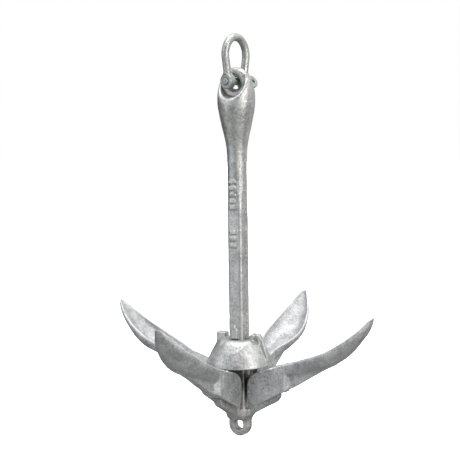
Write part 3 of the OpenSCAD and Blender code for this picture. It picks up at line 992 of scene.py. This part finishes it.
scene = bpy.context.scene
CAMERA_AZIMUTH = 30.51      # degrees from -Y toward +X
CAMERA_ELEVATION = 4.84
CAMERA_ROLL = -0.80
CAMERA_DISTANCE = 1.004
CAMERA_RIGHT, CAMERA_HEIGHT = -0.0069, 0.1803     # the point the camera looks at
FLOOR_HALF, FLOOR_Z = 8, -0.0015


def toward(azimuth, elevation):
    """Unit vector at degrees to the right of the camera's side, and above the horizon."""
    a, e = math.radians(CAMERA_AZIMUTH + azimuth), math.radians(elevation)
    return Vector((math.sin(a) * math.cos(e), -math.cos(a) * math.cos(e), math.sin(e)))


def add_floor():
    """White floor that glows, and that only the camera and shadows meet."""
    material = bpy.data.materials.new("floor_white")
    material.use_nodes = True
    inputs = material.node_tree.nodes["Principled BSDF"].inputs
    inputs["Base Color"].default_value = (1, 1, 1, 1)
    inputs["Roughness"].default_value = 0.9
    inputs["Emission Color"].default_value = (1, 1, 1, 1)
    inputs["Emission Strength"].default_value = 0.84
    me = bpy.data.meshes.new("floor")
    me.from_pydata([(sx * FLOOR_HALF, sy * FLOOR_HALF, FLOOR_Z)
                    for sx, sy in ((-1, -1), (1, -1), (1, 1), (-1, 1))], [], [(0, 1, 2, 3)])
    floor = bpy.data.objects.new("floor", me)
    scene.collection.objects.link(floor)
    me.materials.append(material)
    floor.visible_glossy = False
    floor.visible_diffuse = False


# Soft boxes in the surroundings: azimuth, elevation, inner and outer angle of the fade, colour
LOBES = [
    (-10, 87, 12, 47, (2.25, 2.25, 2.25)),      # broad light overhead
    (38, 8, 12, 32, (1.76, 1.72, 1.68)),        # right, warmer
    (-66, 12, 16, 42, (0.95, 0.975, 1.02)),     # left, cooler
    (116, 8, 20, 46, (0.60, 0.60, 0.59)),       # right, behind
    (170, 42, 15, 48, (0.50, 0.50, 0.50)),      # behind, high
    (-105, 45, 15, 42, (0.55, 0.55, 0.56)),     # left, high
    (95, 45, 15, 42, (0.70, 0.70, 0.69)),       # right, high
    (3, -8, 8, 28, (0.55, 0.55, 0.55)),         # low fill from the camera's side
    (0, -75, 30, 84, (0.30, 0.30, 0.295)),      # bounce from below
]
AMBIENT = (0.13, 0.13, 0.13)


def add_world():
    """The camera sees plain white; everything else sees the soft boxes."""
    world = bpy.data.worlds.new("studio")
    scene.world = world
    world.use_nodes = True
    sh = Shader(world.node_tree)
    output = sh.add("OutputWorld")
    light_path = sh.add("LightPath")
    switch = sh.add("MixShader")
    white = sh.add("Background")
    white.inputs[0].default_value = (1, 1, 1, 1)
    studio = sh.add("Background")
    direction = sh.add("TexCoord").outputs["Generated"]
    start = sh.add("VectorMath", operation="ADD")
    start.inputs[0].default_value = AMBIENT
    total = start.outputs[0]
    for azimuth, elevation, inner, outer, colour in LOBES:
        closeness = sh.add("VectorMath", operation="DOT_PRODUCT")
        sh.plug(closeness.inputs[0], direction)
        closeness.inputs[1].default_value = toward(azimuth, elevation)
        fade = sh.add("MapRange", interpolation_type="SMOOTHSTEP")
        fade.inputs[1].default_value = math.cos(math.radians(outer))
        fade.inputs[2].default_value = math.cos(math.radians(inner))
        sh.plug(fade.inputs[0], closeness.outputs["Value"])
        glow = sh.add("VectorMath", operation="SCALE")
        glow.inputs[0].default_value = colour
        sh.plug(glow.inputs["Scale"], fade.outputs[0])
        added = sh.add("VectorMath", operation="ADD")
        sh.plug(added.inputs[0], total)
        sh.plug(added.inputs[1], glow.outputs[0])
        total = added.outputs[0]
    sh.plug(studio.inputs[0], total)
    sh.plug(switch.inputs[0], light_path.outputs["Is Camera Ray"])
    sh.plug(switch.inputs[1], studio.outputs[0])
    sh.plug(switch.inputs[2], white.outputs[0])
    sh.plug(output.inputs[0], switch.outputs[0])


def add_camera():
    roll = math.radians(CAMERA_ROLL)
    azimuth = math.radians(CAMERA_AZIMUTH)
    back = toward(0, CAMERA_ELEVATION)
    right = Vector((math.cos(azimuth), math.sin(azimuth), 0))
    up = back.cross(right)
    rolled_right = right * math.cos(roll) + up * math.sin(roll)
    rolled_up = -right * math.sin(roll) + up * math.cos(roll)
    data = bpy.data.cameras.new("camera")
    data.sensor_width = 36
    data.lens = 90.93913
    data.clip_start = 0.05
    camera = bpy.data.objects.new("camera", data)
    scene.collection.objects.link(camera)
    matrix = Matrix((rolled_right, rolled_up, back)).transposed().to_4x4()
    matrix.translation = (right * CAMERA_RIGHT + Vector((0, 0, CAMERA_HEIGHT))
                          + back * CAMERA_DISTANCE)
    camera.matrix_world = matrix
    scene.camera = camera


def add_light(name, azimuth, elevation, distance, width, height, power):
    """Area light aimed at the middle of the anchor."""
    direction = toward(azimuth, elevation)
    data = bpy.data.lights.new(name, "AREA")
    data.shape = "RECTANGLE"
    data.size = width
    data.size_y = height
    data.energy = power
    light = bpy.data.objects.new(name, data)
    scene.collection.objects.link(light)
    light.location = Vector((0, 0, 0.16)) + direction * distance
    light.rotation_mode = "QUATERNION"
    light.rotation_quaternion = (-direction).to_track_quat("-Z", "Y")


add_floor()
add_world()
scene.view_settings.view_transform = "Standard"
add_camera()
add_light("key_top", azimuth=-20, elevation=72, distance=1.2, width=0.7, height=0.7, power=2.2)
add_light("side_right", azimuth=48, elevation=22, distance=1.1, width=0.25, height=0.6, power=2.2)
